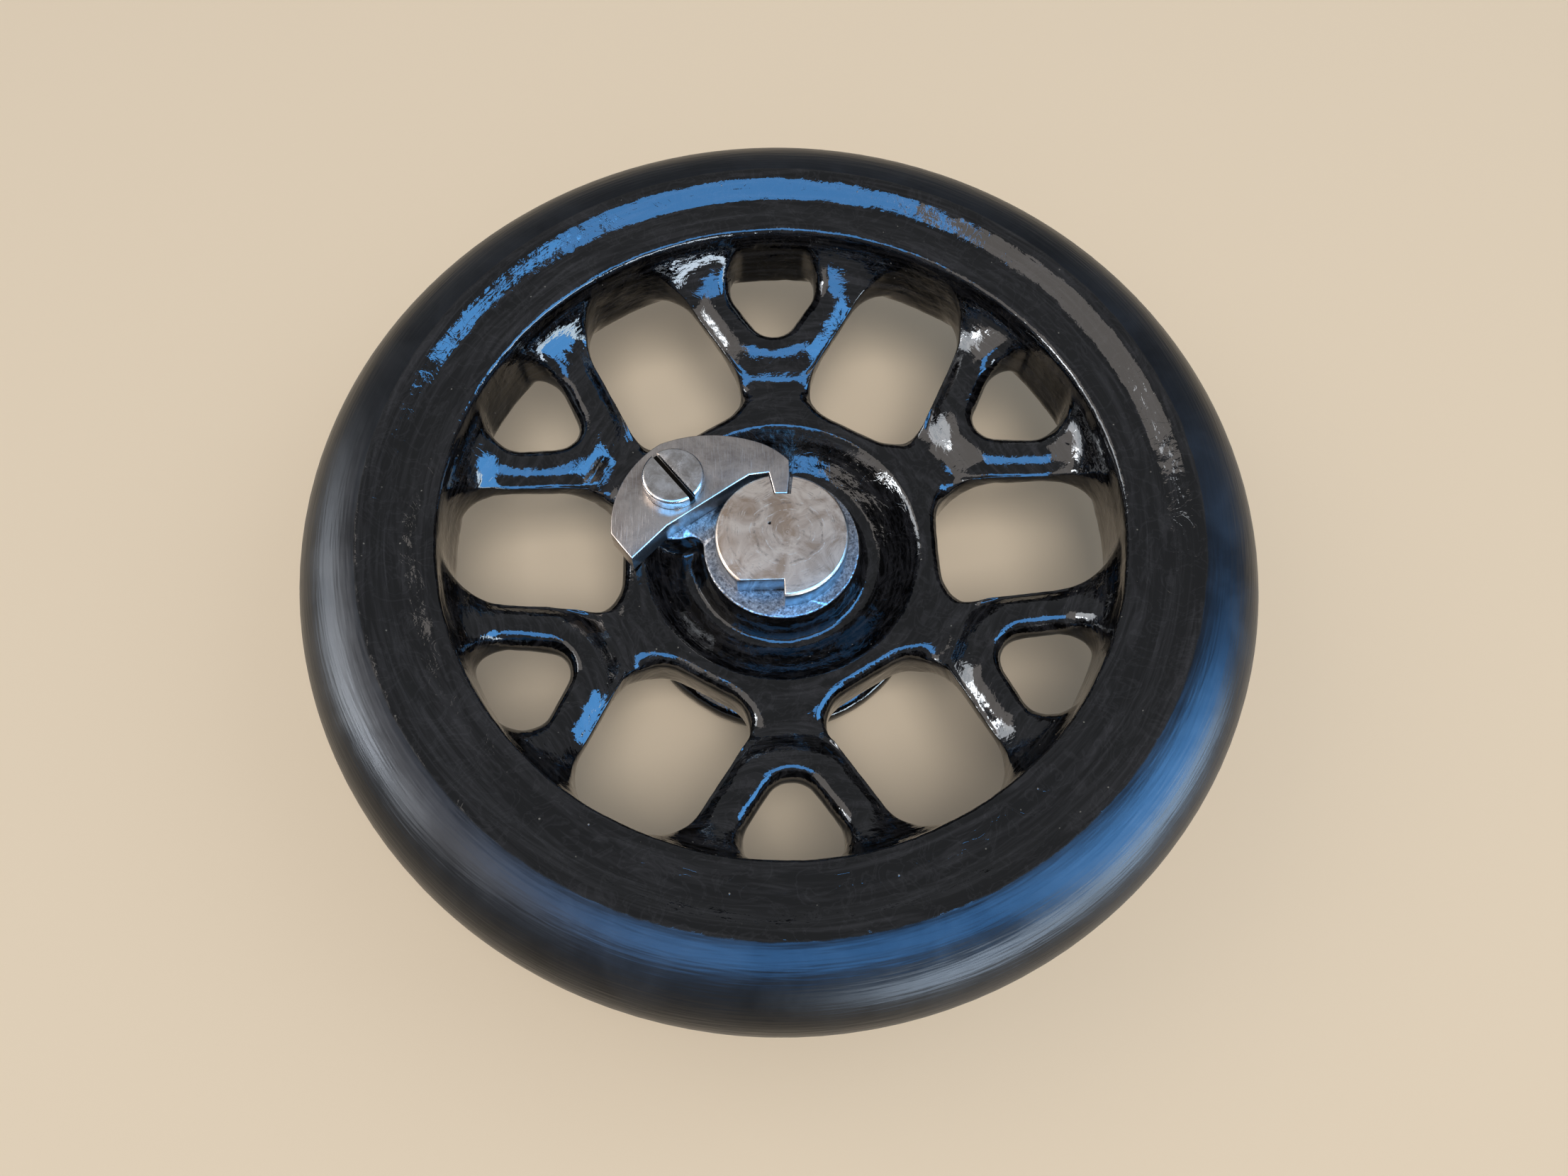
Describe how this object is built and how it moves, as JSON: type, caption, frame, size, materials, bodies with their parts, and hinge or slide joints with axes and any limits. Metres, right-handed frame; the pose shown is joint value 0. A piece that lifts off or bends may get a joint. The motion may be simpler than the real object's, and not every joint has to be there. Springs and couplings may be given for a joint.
{
  "type": "machine handwheel",
  "caption": "Dished cast handwheel with forked spokes, a rear belt groove, and a hook latch that locks the wheel to its shaft bush.",
  "frame": {"origin": "on the wheel's axis, at the flat rear end of the hub that the wheel stands on", "axes": "+Z along the wheel's axis out of the front, +Y along one forked spoke"},
  "size_m": [0.15, 0.15, 0.0404],
  "materials": {
    "japanned_casting": "cast iron under gloss black japan, satin on the turned outer rim",
    "turned_steel": "turned steel, worn bright at its edge",
    "filed_steel": "flat filed steel with fine scratches",
    "screw_steel": "plain steel screw, worn"
  },
  "bodies": {
    "wheel": {"wheel_casting": "japanned_casting", "latch_screw": "screw_steel"},
    "latch": {"latch": "filed_steel"},
    "bush": {"clutch_bush": "turned_steel"}
  },
  "joints": [
    {"name": "latch_pivot", "type": "hinge", "parent": "wheel", "child": "latch", "pos_m": [-0.0173, 0.0098, 0.0263], "axis": [0, 0, 1], "range_deg": [0, 45]},
    {"name": "bush_turn", "type": "hinge", "parent": "wheel", "child": "bush", "pos_m": [0, 0, 0.012], "axis": [0, 0, 1], "range_deg": [0, 2.5]}
  ]
}
